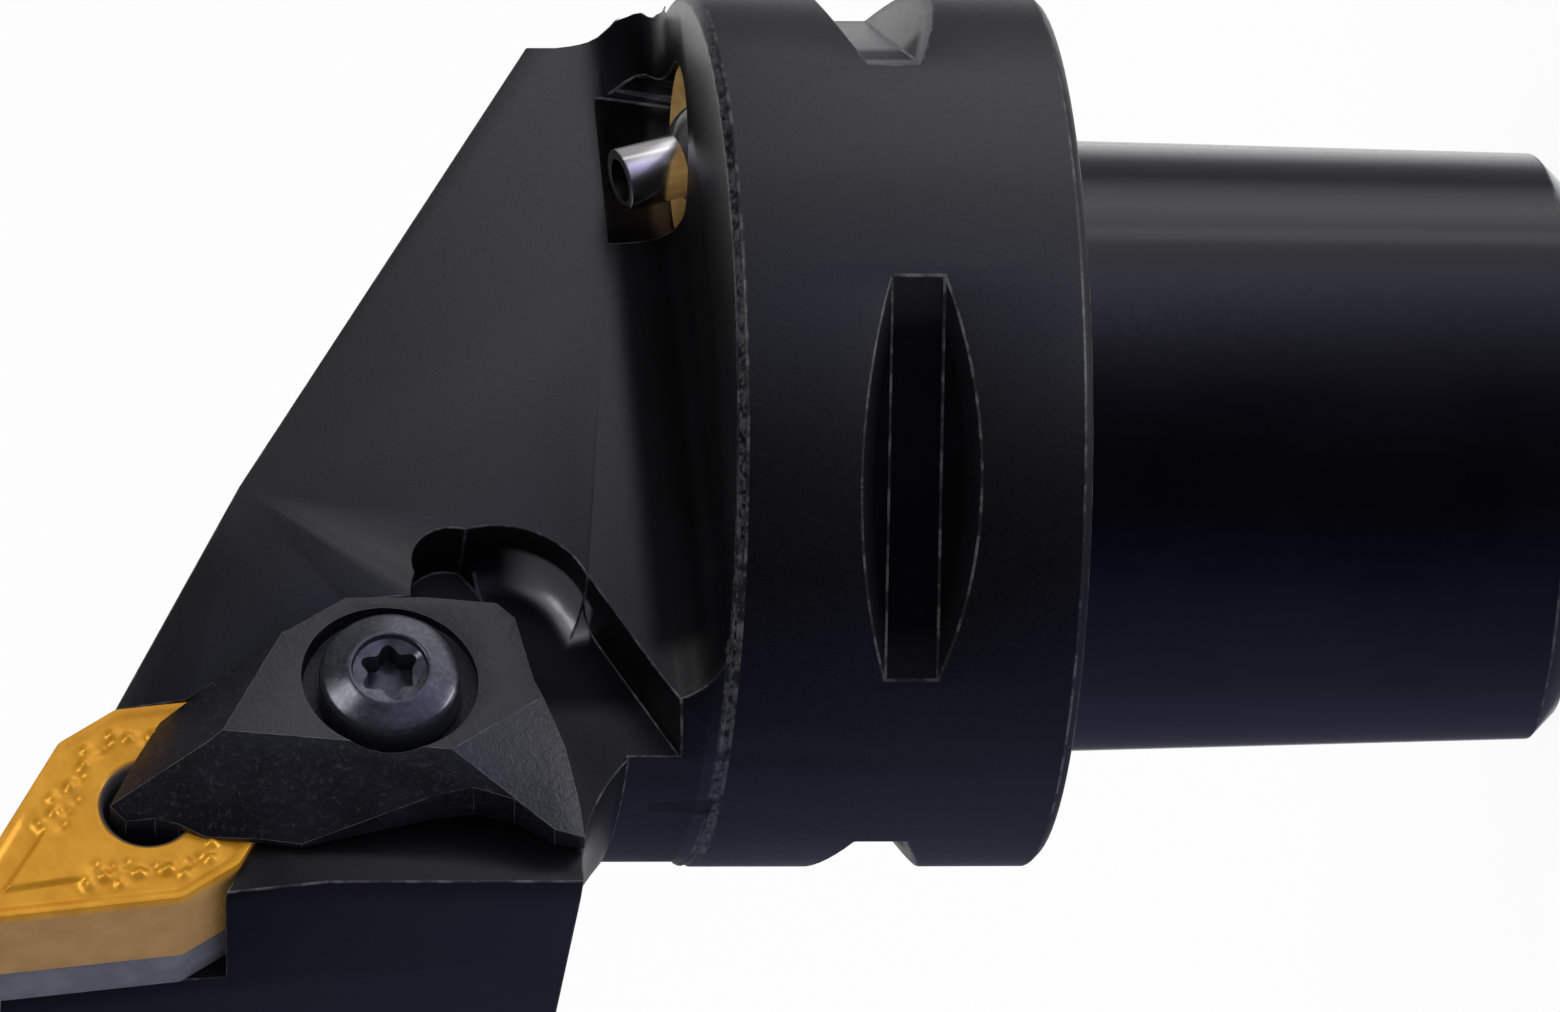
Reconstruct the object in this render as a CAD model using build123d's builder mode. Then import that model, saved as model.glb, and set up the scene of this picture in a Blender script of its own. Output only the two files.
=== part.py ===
from build123d import *
import os
from math import cos, pi, radians, sin, tan

# Left-hand turning tool with a polygonal taper shank. Millimetres.
# Origin: centre of the gauge face. +Z points from the gauge face towards the cutting end.
# -X is the side that the cutting corner stands out on, and -Y is the side that the rake face looks to.

# Cutting corner
corner_offset = 35.0
corner_length = 64.0
nose_radius = 0.8
lead_angle = 93.0
seat_tilt = 6.0

# Insert
insert_circle = 12.7
insert_angle = 55.0
insert_thickness = 6.35
insert_hole_diameter = 5.16
insert_hole_chamfer = 0.35
insert_side_flat = 6.15
land_width = 0.3
breaker_width = 1.5
breaker_depth = 0.35
breaker_slope = 0.45

# Shim and its screw
shim_thickness = 3.6
shim_inset = 0.35
shim_screw_diameter = 4.0
shim_screw_length = 9.0
shim_screw_head = 6.4
shim_screw_gap = 0.1
shim_screw_drop = 0.15
shim_socket_radius = 1.2
shim_socket_depth = 1.8
seat_gap = 0.02

# Flange
flange_diameter = 50.0
flange_width = 20.2
flange_chamfer = 0.5
groove_height = 9.8
groove_flat = 3.0
groove_depth = 2.8
groove_flank_angle = 34.0

# Shank
shank_length = 30.0
shank_diameter = 35.0
taper_ratio = 20.0
lobe_height = 1.05
shank_chamfer = 1.4
relief_width = 0.8
relief_depth = 0.6

# Bore in the shank
bore_diameter = 21.0
bore_depth = 17.5
bore_mouth_chamfer = 1.0
clamping_groove_diameter = 24.4
clamping_groove_start = 5.0
clamping_groove_width = 6.5
thread_diameter = 16.0
thread_reach = 8.0

# Head
neck_step = 2.9
rake_side_height = 6.0
deck_height = 1.9
head_depth = 19.0
head_corner_radius = 7.0
top_fillet = 4.0
neck_fillet = 9.6
side_offset = 33.7
side_relief = 6.0
front_relief = 1.0
front_slope = 30.7
front_corner_length = 61.5
side_end = 28.0
shoulder_width = 5.2
blend_offset = 28.5
undercut_radius = 12.6
undercut_offset = 33.6
undercut_length = 28.6
facet_offset = 9.05
facet_length = 46.4
facet_turn = 47.3
facet_slope = 14.5
pocket_corner_radius = 0.6

# Cavity behind the clamp
cavity_offset = 16.8
cavity_length = 32.3
cavity_radius = 5.2
cavity_edge_offset = 15.2
cavity_edge_length = 27.3
cavity_edge_turn = 26.6
notch_offset = 14.2
notch_length = 34.8
notch_radius = 2.45

# Clamp
clamp_top_height = 6.5
clamp_gap = 0.4
clamp_seat_gap = 0.02
clamp_foot_gap = 0.3
finger_depth = 1.6
finger_gap = 0.12

# Clamp screw, placed behind the insert's centre along its long diagonal and beside it
screw_back = 14.9
screw_side = 2.3
screw_diameter = 4.1
screw_length = 10.0
screw_head_diameter = 8.0
screw_seat_height = 1.0
screw_rim_height = 3.4
screw_top_height = 3.9
screw_top_diameter = 4.6
socket_radius = 1.75
socket_depth = 2.2
counterbore_diameter = 10.0
thread_gap = 0.05
stem_gap = 0.25

# Spring under the clamp
spring_wire = 0.5
spring_diameter = 4.9
spring_floor = -2.4
spring_top = -0.45
spring_turns = 2.5
spring_pocket_diameter = 5.7

# Coolant nozzle
nozzle_inset = 11.6
nozzle_height = 8.4
ball_radius = 3.4
ball_length = 17.5
tube_diameter = 3.7
tube_bore = 2.4
tube_reach = 6.4
tube_angle = 18.0
pocket_diameter = 10.4
ring_back = 0.8
ring_front = 2.4
ring_lip = 1.1
ring_gap = 0.05
ball_gap = 0.05
mouth_angle = 52.0
seal_diameter = 5.2
seal_wire = 1.0
seal_gap = 0.03
coolant_diameter = 3.2
coolant_start = 4.0
coolant_turn_length = 9.5

os.makedirs("parts", exist_ok=True)

# Insert seat: local +x runs to the nose, +y to the side edge, +z out of the rake face.
half_angle = insert_angle / 2
diagonal_turn = lead_angle - 90 + half_angle
tilt = tan(radians(seat_tilt))
diagonal_x = sin(radians(diagonal_turn))
diagonal_z = cos(radians(diagonal_turn))
nose_reach = (insert_circle / 2 - nose_radius) / sin(radians(half_angle))
centre_offset = corner_offset - nose_radius - nose_reach * diagonal_x
centre_length = corner_length - nose_radius - nose_reach * diagonal_z
centre_height = tilt * (nose_reach + nose_radius) * (diagonal_x + diagonal_z)
seat_plane = Plane(
    origin=(-centre_offset, -centre_height, centre_length),
    x_dir=(-diagonal_x, tilt * (diagonal_x + diagonal_z), diagonal_z),
    z_dir=(-tilt, -1, tilt),
)
acute_reach = insert_circle / 2 / sin(radians(half_angle))
obtuse_reach = insert_circle / 2 / cos(radians(half_angle))
stack_depth = insert_thickness + shim_thickness


def seat_point(x, y, z):
    return seat_plane.from_local_coords(Vector(x, y, z))


def seat_axis_plane(x, y, z):
    return Plane(origin=seat_point(x, y, z), x_dir=seat_plane.x_dir, z_dir=seat_plane.z_dir)


def facet_plane(first, second, third):
    corner = seat_point(*first)
    return Plane(
        origin=corner,
        z_dir=(seat_point(*second) - corner).cross(seat_point(*third) - corner),
    )


def lobed_profile(mean_diameter, count=72):
    points = []
    for step in range(count):
        angle = 2 * pi * step / count
        lobe = 3 * (angle + pi / 2)
        reach = mean_diameter / 2 + lobe_height * cos(lobe)
        slope = -3 * lobe_height * sin(lobe)
        points.append(
            (reach * cos(angle) - slope * sin(angle), reach * sin(angle) + slope * cos(angle))
        )
    return points


def star_profile(radius, lobes=6):
    points = []
    for step in range(4 * lobes):
        angle = 2 * pi * step / (4 * lobes)
        reach = radius * (0.86 + 0.14 * cos(lobes * angle))
        points.append((reach * cos(angle), reach * sin(angle)))
    return points


# Outline of the insert, centred on its hole
side_flat_length = acute_reach * (obtuse_reach - insert_side_flat) / obtuse_reach
with BuildSketch() as insert_outline:
    with BuildLine():
        Polyline(
            (acute_reach, 0),
            (side_flat_length, insert_side_flat),
            (-side_flat_length, insert_side_flat),
            (-acute_reach, 0),
            (-side_flat_length, -insert_side_flat),
            (side_flat_length, -insert_side_flat),
            close=True,
        )
    make_face()
    fillet(insert_outline.vertices(), nose_radius)

# Outline of the clamp: finger tip, edge beside the head, rear, tail, edge beside the cutting side
with BuildSketch() as clamp_outline:
    with BuildLine():
        Polyline(
            (2.2, -0.6),
            (-1.1, -2.7),
            (-3.5, -4.0),
            (-6.3, -3.9),
            (-12.1, -3.5),
            (-16.0, -3.7),
            (-19.9, -1.4),
            (-23.1, 1.0),
            (-23.4, 2.4),
            (-21.8, 6.6),
            (-21.1, 10.7),
            (-19.9, 13.9),
            (-19.1, 15.5),
            (-17.8, 14.4),
            (-16.7, 12.0),
            (-15.1, 10.3),
            (-13.0, 9.4),
            (-5.5, 7.2),
            (-1.3, 3.8),
            (-0.4, 2.4),
            (0.5, 1.4),
            (1.9, 0.5),
            close=True,
        )
    make_face()

# Wedge between the two walls that the insert rests against
pocket_apex = acute_reach + seat_gap / sin(radians(half_angle))
pocket_arm = 2 * corner_length
with BuildSketch() as pocket_wedge:
    with BuildLine():
        Polyline(
            (-pocket_apex, 0),
            (pocket_arm * cos(radians(half_angle)) - pocket_apex, pocket_arm * sin(radians(half_angle))),
            (pocket_arm * cos(radians(half_angle)) - pocket_apex, -pocket_arm * sin(radians(half_angle))),
            close=True,
        )
    make_face()
    fillet(pocket_wedge.vertices().sort_by(Axis.X)[0], pocket_corner_radius)

# Cutting insert
insert_faces = [
    seat_plane,
    Plane(origin=seat_point(0, 0, -insert_thickness), x_dir=seat_plane.x_dir, z_dir=-seat_plane.z_dir),
]
with BuildPart() as cutting_insert:
    with BuildSketch(seat_plane):
        add(insert_outline.sketch)
    extrude(amount=-insert_thickness)
    for face_plane in insert_faces:
        with BuildSketch(face_plane):
            add(insert_outline.sketch)
            offset(amount=-land_width)
        with BuildSketch(face_plane.offset(-breaker_depth)):
            add(insert_outline.sketch)
            offset(amount=-land_width - breaker_slope)
        loft(mode=Mode.SUBTRACT)
        with BuildSketch(face_plane.offset(-breaker_depth)):
            add(insert_outline.sketch)
            offset(amount=-land_width - breaker_width)
        with BuildSketch(face_plane):
            add(insert_outline.sketch)
            offset(amount=-land_width - breaker_width - breaker_slope)
        loft()
    with Locations(seat_plane):
        Hole(radius=insert_hole_diameter / 2, depth=insert_thickness)
    rim_edges = cutting_insert.edges().filter_by(GeomType.CIRCLE)
    chamfer(rim_edges.filter_by(lambda edge: edge.radius > 2 * nose_radius), insert_hole_chamfer)
cutting_insert.part.label = "cutting_insert"

# Shim under the insert
shim_plane = seat_plane.offset(-insert_thickness)
with BuildPart() as shim:
    with BuildSketch(shim_plane):
        add(insert_outline.sketch)
        offset(amount=-shim_inset)
    extrude(amount=-shim_thickness)
    with Locations(shim_plane):
        CounterSinkHole(
            radius=shim_screw_diameter / 2 + shim_screw_gap,
            counter_sink_radius=shim_screw_head / 2 + shim_screw_drop + shim_screw_gap,
            depth=shim_thickness,
            counter_sink_angle=90,
        )
shim.part.label = "shim"

# Shim screw
head_depth_of_cone = (shim_screw_head - shim_screw_diameter) / 2
with BuildPart(shim_plane.offset(-shim_screw_drop)) as shim_screw:
    Cone(
        shim_screw_diameter / 2,
        shim_screw_head / 2,
        head_depth_of_cone,
        align=(Align.CENTER, Align.CENTER, Align.MAX),
    )
    Cylinder(
        shim_screw_diameter / 2,
        shim_screw_length,
        align=(Align.CENTER, Align.CENTER, Align.MAX),
    )
    with BuildSketch(shim_plane.offset(-shim_screw_drop)):
        with BuildLine():
            Spline(*star_profile(shim_socket_radius), periodic=True)
        make_face()
    extrude(amount=-shim_socket_depth, mode=Mode.SUBTRACT)
shim_screw.part.label = "shim_screw"

# Head, with the front plane and the sloping facet beside the insert
front_rise = tan(radians(front_slope))
flange_radius = flange_diameter / 2
neck_radius = flange_radius - neck_step
groove_flat_radius = flange_radius - groove_depth
nozzle_offset = flange_radius - nozzle_inset
with BuildPart() as head_block:
    with BuildSketch(Plane.XZ.offset(rake_side_height)):
        with BuildLine():
            Polyline(
                (neck_radius, flange_width / 2),
                (neck_radius, front_corner_length - (side_offset + neck_radius) * front_rise),
                (-side_offset, front_corner_length),
                (-side_offset, side_end),
                (-blend_offset, flange_width + shoulder_width),
                (0, flange_width + shoulder_width),
                (0, flange_width / 2),
                close=True,
            )
        make_face()
    extrude(amount=-rake_side_height - neck_radius)
    with BuildSketch(Plane.XY.offset(flange_width / 2)) as head_section:
        with BuildLine():
            Polyline(
                (0, -rake_side_height),
                (-side_offset - rake_side_height * tan(radians(side_relief)), -rake_side_height),
                (-side_offset + head_depth * tan(radians(side_relief)), head_depth),
                (0, head_depth),
                close=True,
            )
        make_face()
        fillet(head_section.vertices().sort_by(Axis.X).group_by(Axis.Y)[-1][0], head_corner_radius)
        with Locations((-neck_step / 2, 0)):
            Circle(flange_radius - neck_step / 2)
    extrude(amount=corner_length, mode=Mode.INTERSECT)
    split(
        bisect_by=Plane(
            origin=(-side_offset, -rake_side_height, front_corner_length),
            z_dir=(
                sin(radians(front_slope)),
                tan(radians(front_relief)),
                cos(radians(front_slope)),
            ),
        ),
        keep=Keep.BOTTOM,
    )
    split(
        bisect_by=Plane(
            origin=(-facet_offset, -rake_side_height, facet_length),
            z_dir=(
                -sin(radians(facet_turn)) * tan(radians(facet_slope)),
                -1,
                cos(radians(facet_turn)) * tan(radians(facet_slope)),
            ),
        ),
        keep=Keep.BOTTOM,
    )

# Room that the clamp moves in
with BuildPart() as clamp_room:
    with BuildSketch(seat_plane.offset(-corner_length / 4)):
        add(clamp_outline.sketch)
        offset(amount=clamp_gap)
    extrude(amount=corner_length / 2)
    split(bisect_by=Plane.XZ.offset(deck_height), keep=Keep.TOP)

# Seat of the nozzle's seal
seal_drop = ((ball_radius + seal_wire / 2 + seal_gap) ** 2 - (seal_diameter / 2) ** 2) ** 0.5
pocket_floor = ball_length - seal_drop - seal_wire / 2 - seal_gap

# Holder
flare_length = (neck_fillet**2 - (neck_fillet - neck_step) ** 2) ** 0.5
nozzle_place = (nozzle_offset, -nozzle_height)
shank_end_diameter = shank_diameter - shank_length / taper_ratio
with BuildPart() as holder_body:
    Cylinder(flange_radius, flange_width, align=(Align.CENTER, Align.CENTER, Align.MIN))
    chamfer(holder_body.edges().filter_by(GeomType.CIRCLE), flange_chamfer)
    with BuildSketch(Plane.XZ):
        with Locations((0, flange_width - flange_chamfer)):
            Rectangle(neck_radius, flange_chamfer, align=(Align.MIN, Align.MIN))
        with Locations((0, flange_width)):
            Rectangle(flange_radius, flare_length, align=(Align.MIN, Align.MIN))
        with Locations((neck_radius + neck_fillet, flange_width + flare_length)):
            Circle(neck_fillet, mode=Mode.SUBTRACT)
    revolve(axis=Axis.Z)
    with BuildSketch(Plane.XY.offset(flange_width - flange_chamfer)):
        with Locations((-neck_step / 2, 0)):
            Circle(flange_radius - neck_step / 2)
    extrude(amount=shoulder_width + flange_chamfer)
    with BuildSketch(Plane.YZ) as above_head:
        with Locations((-rake_side_height, flange_width)):
            Rectangle(corner_length, corner_length, align=(Align.MAX, Align.MIN))
        fillet(above_head.vertices().group_by(Axis.X)[-1].sort_by(Axis.Y)[0], top_fillet)
    extrude(amount=corner_length, both=True, mode=Mode.SUBTRACT)
    add(head_block.part)
    # Turned undercut between the flange and the head
    with BuildSketch(Plane.XZ):
        with Locations((undercut_offset, undercut_length - undercut_radius)):
            Circle(undercut_radius)
            Rectangle(corner_length, undercut_radius, align=(Align.MIN, Align.MIN))
        with Locations((flange_radius, undercut_length - undercut_radius)):
            Rectangle(corner_length, undercut_radius, align=(Align.MIN, Align.MIN), mode=Mode.INTERSECT)
    revolve(axis=Axis.Z, mode=Mode.SUBTRACT)
    # Gripper grooves round the flange
    for groove_turn in (45, 135, 225, 315):
        groove_plane = Plane(
            origin=(0, 0, groove_height),
            x_dir=(cos(radians(groove_turn)), sin(radians(groove_turn)), 0),
            z_dir=(-sin(radians(groove_turn)), cos(radians(groove_turn)), 0),
        )
        groove_rise = (groove_depth + 1) * tan(radians(groove_flank_angle))
        with BuildSketch(groove_plane):
            with BuildLine():
                Polyline(
                    (groove_flat_radius, groove_flat / 2),
                    (flange_radius + 1, groove_flat / 2 + groove_rise),
                    (flange_radius + 1, -groove_flat / 2 - groove_rise),
                    (groove_flat_radius, -groove_flat / 2),
                    close=True,
                )
            make_face()
        extrude(amount=flange_radius, both=True, mode=Mode.SUBTRACT)
    # Relief in the gauge face, and the polygonal taper shank that stands in it
    Cylinder(
        shank_diameter / 2 + lobe_height + relief_width,
        relief_depth,
        align=(Align.CENTER, Align.CENTER, Align.MIN),
        mode=Mode.SUBTRACT,
    )
    with BuildSketch(Plane.XY.offset(relief_depth)):
        with BuildLine():
            Spline(*lobed_profile(shank_diameter + relief_depth / taper_ratio), periodic=True)
        make_face()
    with BuildSketch(Plane.XY.offset(shank_chamfer - shank_length)):
        with BuildLine():
            Spline(*lobed_profile(shank_end_diameter + shank_chamfer / taper_ratio), periodic=True)
        make_face()
    loft()
    with BuildSketch(Plane.XY.offset(shank_chamfer - shank_length)):
        with BuildLine():
            Spline(*lobed_profile(shank_end_diameter + shank_chamfer / taper_ratio), periodic=True)
        make_face()
    with BuildSketch(Plane.XY.offset(-shank_length)):
        with BuildLine():
            Spline(*lobed_profile(shank_end_diameter - 2 * shank_chamfer), periodic=True)
        make_face()
    loft()
    # Bore, clamping groove and drawbar thread
    with BuildSketch(Plane.XZ) as bore_section:
        with BuildLine():
            Polyline(
                (0, -shank_length),
                (bore_diameter / 2 + bore_mouth_chamfer, -shank_length),
                (bore_diameter / 2, -shank_length + bore_mouth_chamfer),
                (bore_diameter / 2, -shank_length + clamping_groove_start),
                (clamping_groove_diameter / 2, -shank_length + clamping_groove_start),
                (clamping_groove_diameter / 2, -shank_length + clamping_groove_start + clamping_groove_width),
                (bore_diameter / 2, -shank_length + clamping_groove_start + clamping_groove_width),
                (bore_diameter / 2, -shank_length + bore_depth),
                (thread_diameter / 2, -shank_length + bore_depth),
                (thread_diameter / 2, thread_reach),
                (0, thread_reach),
                close=True,
            )
        make_face()
    revolve(axis=Axis.Z, mode=Mode.SUBTRACT)
    # Cavity behind the clamp and open deck beside it
    with BuildSketch(Plane.XZ.offset(deck_height)):
        with Locations((-cavity_offset, cavity_length)):
            Circle(cavity_radius)
        with Locations((-notch_offset, notch_length)):
            Circle(notch_radius)
        with BuildLine():
            Polyline(
                (-cavity_edge_offset, cavity_edge_length),
                (
                    -cavity_edge_offset - corner_offset,
                    cavity_edge_length - corner_offset * tan(radians(cavity_edge_turn)),
                ),
                (-cavity_edge_offset - corner_offset, corner_length),
                (-centre_offset, centre_length),
                (-cavity_offset, cavity_length),
                close=True,
            )
        make_face()
    extrude(amount=corner_offset, mode=Mode.SUBTRACT)
    add(clamp_room.part, mode=Mode.SUBTRACT)
    # Pocket of the insert and its shim
    with BuildSketch(seat_plane.offset(-stack_depth)):
        add(pocket_wedge.sketch)
    extrude(amount=corner_length, mode=Mode.SUBTRACT)
    with Locations(seat_axis_plane(0, 0, -stack_depth)):
        Hole(
            radius=shim_screw_diameter / 2 + thread_gap,
            depth=shim_screw_length + shim_screw_drop - shim_thickness + thread_gap * 4,
        )
    # Hole and spring seat of the clamp screw
    with Locations(seat_axis_plane(-screw_back, screw_side, spring_floor)):
        Hole(radius=screw_diameter / 2 + thread_gap, depth=screw_length + spring_floor)
    with BuildSketch(seat_axis_plane(-screw_back, screw_side, spring_floor)):
        Circle(spring_pocket_diameter / 2)
    extrude(amount=-2 * spring_floor, mode=Mode.SUBTRACT)
    # Seat of the coolant nozzle and its drillings
    with BuildSketch(Plane.XY.offset(pocket_floor)):
        with Locations(nozzle_place):
            Circle(pocket_diameter / 2)
    extrude(amount=flange_width + top_fillet - pocket_floor, mode=Mode.SUBTRACT)
    with BuildSketch(Plane.XY.offset(coolant_turn_length)):
        with Locations(nozzle_place):
            Circle(coolant_diameter / 2)
    extrude(amount=pocket_floor - coolant_turn_length, mode=Mode.SUBTRACT)
    coolant_run = Vector(nozzle_offset, -nozzle_height, coolant_turn_length - coolant_start)
    with BuildSketch(Plane(origin=(0, 0, coolant_start), z_dir=coolant_run)):
        Circle(coolant_diameter / 2)
    extrude(amount=coolant_run.length, mode=Mode.SUBTRACT)
holder_body.part.label = "holder_body"

# Foot of the clamp, behind and beside the insert
with BuildPart() as clamp_foot:
    with BuildSketch(seat_plane.offset(clamp_seat_gap)):
        add(clamp_outline.sketch)
        with Locations((-clamp_gap / sin(radians(half_angle)), 0)):
            add(pocket_wedge.sketch, mode=Mode.SUBTRACT)
    extrude(amount=-corner_length / 4)
    split(bisect_by=Plane.XZ.offset(deck_height + clamp_foot_gap), keep=Keep.TOP)

# Clamp
with BuildPart() as clamp:
    with BuildSketch(seat_plane.offset(clamp_seat_gap)):
        add(clamp_outline.sketch)
    extrude(amount=corner_length / 4)
    add(clamp_foot.part)
    split(bisect_by=Plane.XZ.offset(clamp_top_height), keep=Keep.BOTTOM)
    split(bisect_by=facet_plane((2.2, -0.6, 1.0), (-3.8, 0.4, 3.7), (-4.5, -3.9, 0.4)), keep=Keep.BOTTOM)
    split(bisect_by=facet_plane((2.2, -0.6, 1.0), (-1.3, 3.8, 0.3), (-3.8, 0.4, 3.7)), keep=Keep.BOTTOM)
    split(bisect_by=facet_plane((-3.8, 0.4, 3.7), (-5.5, 7.2, 0.2), (-14.5, 7.9, 2.8)), keep=Keep.BOTTOM)
    split(bisect_by=facet_plane((-21.5, 7.5, 2.0), (-17.0, 9.0, 2.2), (-19.1, 15.5, -0.6)), keep=Keep.BOTTOM)
    with BuildSketch(seat_plane.offset(clamp_seat_gap)):
        add(clamp_outline.sketch)
        Circle(insert_hole_diameter / 2 - finger_gap, mode=Mode.INTERSECT)
    extrude(amount=-finger_depth)
    with BuildSketch(seat_axis_plane(-screw_back, screw_side, screw_seat_height)):
        Circle(counterbore_diameter / 2)
    extrude(amount=corner_length, mode=Mode.SUBTRACT)
    with BuildSketch(seat_axis_plane(-screw_back, screw_side, screw_seat_height)):
        Circle(screw_diameter / 2 + stem_gap)
    extrude(amount=-corner_length, mode=Mode.SUBTRACT)
    with BuildSketch(seat_axis_plane(-screw_back, screw_side, spring_top + 0.1)):
        Circle(spring_pocket_diameter / 2)
    extrude(amount=-corner_length, mode=Mode.SUBTRACT)
clamp.part.label = "clamp"

# Clamp screw
with BuildPart(seat_axis_plane(-screw_back, screw_side, screw_seat_height)) as clamp_screw:
    Cylinder(
        screw_head_diameter / 2,
        screw_rim_height - screw_seat_height,
        align=(Align.CENTER, Align.CENTER, Align.MIN),
    )
    Cylinder(
        screw_diameter / 2,
        screw_length + screw_seat_height - 0.2,
        align=(Align.CENTER, Align.CENTER, Align.MAX),
    )
    with BuildSketch(seat_axis_plane(-screw_back, screw_side, screw_rim_height)):
        Circle(screw_head_diameter / 2)
    with BuildSketch(seat_axis_plane(-screw_back, screw_side, screw_top_height)):
        Circle(screw_top_diameter / 2)
    loft()
    with BuildSketch(seat_axis_plane(-screw_back, screw_side, screw_top_height)):
        with BuildLine():
            Spline(*star_profile(socket_radius), periodic=True)
        make_face()
    extrude(amount=-socket_depth, mode=Mode.SUBTRACT)
clamp_screw.part.label = "clamp_screw"

# Lifting spring round the clamp screw
spring_height = spring_top - spring_floor - spring_wire - 0.04
spring_base = seat_axis_plane(-screw_back, screw_side, spring_floor + spring_wire / 2 + 0.02)
with BuildPart() as clamp_spring:
    with BuildLine() as coil:
        Helix(
            pitch=spring_height / spring_turns,
            height=spring_height,
            radius=spring_diameter / 2,
            center=spring_base.origin,
            direction=spring_base.z_dir,
        )
    with BuildSketch(Plane(origin=coil.line @ 0, z_dir=coil.line % 0)):
        Circle(spring_wire / 2)
    sweep(is_frenet=True)
clamp_spring.part.label = "clamp_spring"

# Coolant nozzle: ball with a short tube
ball_centre = (nozzle_offset, -nozzle_height, ball_length)
tube_direction = (-sin(radians(tube_angle)), 0, cos(radians(tube_angle)))
with BuildPart(Plane(origin=ball_centre, z_dir=tube_direction)) as coolant_nozzle:
    Sphere(ball_radius)
    Cylinder(tube_diameter / 2, tube_reach, align=(Align.CENTER, Align.CENTER, Align.MIN))
    Cylinder(tube_bore / 2, 4 * tube_reach, mode=Mode.SUBTRACT)
coolant_nozzle.part.label = "coolant_nozzle"

# Retaining ring round the ball
with BuildPart(Plane(origin=ball_centre)) as nozzle_ring:
    with Locations((0, 0, -ring_back)):
        Cylinder(
            pocket_diameter / 2 - ring_gap,
            ring_back + ring_front,
            align=(Align.CENTER, Align.CENTER, Align.MIN),
        )
    Sphere(ball_radius + ball_gap, mode=Mode.SUBTRACT)
    lip_radius = ((ball_radius + ball_gap) ** 2 - ring_lip**2) ** 0.5
    with Locations((0, 0, ring_lip)):
        Cone(
            lip_radius,
            lip_radius + (ring_front - ring_lip) * tan(radians(mouth_angle)),
            ring_front - ring_lip,
            align=(Align.CENTER, Align.CENTER, Align.MIN),
            mode=Mode.SUBTRACT,
        )
nozzle_ring.part.label = "nozzle_ring"

# Seal ring under the ball
with BuildPart(Plane(origin=ball_centre)) as nozzle_seal:
    with Locations((0, 0, -seal_drop)):
        Torus(seal_diameter / 2, seal_wire / 2)
nozzle_seal.part.label = "nozzle_seal"

export_step(holder_body.part, "parts/holder_body.step")
export_step(cutting_insert.part, "parts/cutting_insert.step")
export_step(shim.part, "parts/shim.step")
export_step(shim_screw.part, "parts/shim_screw.step")
export_step(clamp.part, "parts/clamp.step")
export_step(clamp_screw.part, "parts/clamp_screw.step")
export_step(clamp_spring.part, "parts/clamp_spring.step")
export_step(coolant_nozzle.part, "parts/coolant_nozzle.step")
export_step(nozzle_ring.part, "parts/nozzle_ring.step")
export_step(nozzle_seal.part, "parts/nozzle_seal.step")
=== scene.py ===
from math import atan2, cos, exp, hypot, pi, radians, sin, sqrt, tan
import bpy
from mathutils import Matrix, Vector

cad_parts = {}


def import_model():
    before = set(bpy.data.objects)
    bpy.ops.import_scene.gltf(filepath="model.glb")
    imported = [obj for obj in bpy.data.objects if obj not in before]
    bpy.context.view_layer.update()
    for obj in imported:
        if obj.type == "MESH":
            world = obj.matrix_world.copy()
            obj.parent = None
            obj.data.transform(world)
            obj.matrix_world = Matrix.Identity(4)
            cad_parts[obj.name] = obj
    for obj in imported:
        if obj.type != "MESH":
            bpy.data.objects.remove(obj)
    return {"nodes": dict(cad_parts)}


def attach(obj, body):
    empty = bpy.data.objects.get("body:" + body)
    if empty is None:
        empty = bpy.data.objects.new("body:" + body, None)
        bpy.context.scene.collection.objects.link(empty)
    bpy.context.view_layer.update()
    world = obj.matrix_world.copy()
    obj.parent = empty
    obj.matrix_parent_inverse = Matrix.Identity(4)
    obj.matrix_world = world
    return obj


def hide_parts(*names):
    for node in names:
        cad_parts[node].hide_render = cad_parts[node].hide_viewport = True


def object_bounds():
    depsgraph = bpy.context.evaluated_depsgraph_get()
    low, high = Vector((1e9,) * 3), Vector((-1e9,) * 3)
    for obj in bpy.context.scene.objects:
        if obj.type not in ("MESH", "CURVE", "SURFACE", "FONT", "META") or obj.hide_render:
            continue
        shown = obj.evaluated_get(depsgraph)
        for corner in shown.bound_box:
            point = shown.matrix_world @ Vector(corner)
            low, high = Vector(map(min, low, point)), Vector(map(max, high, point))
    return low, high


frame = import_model()
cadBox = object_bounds()
print("frame loaded")

mm = 0.001  # the pieces' dictionaries give mm and degrees, the materials' and studio's metres


def frameMatrix(origin, along, across, out):
    turned = Matrix((along, across, out)).transposed().to_4x4()
    turned.translation = origin
    return turned


seatLook = {  # along the insert to its nose, across it to its side edge, out of its face
    "origin": (-28.0996, -1.8448, 52.8436),
    "along": (-0.502363, 0.142438, 0.852844),
    "across": (-0.858384, 0.036437, -0.511712),
    "out": (-0.103962, -0.989133, 0.103962),
    "screwPlace": (-14.9, 2.3, 0),
}
seatMatrix = frameMatrix(
    Vector(seatLook["origin"]) * mm,
    *[Vector(seatLook[axis]) for axis in ("along", "across", "out")])
screwMatrix = seatMatrix @ Matrix.Translation(Vector(seatLook["screwPlace"]) * mm)

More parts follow.
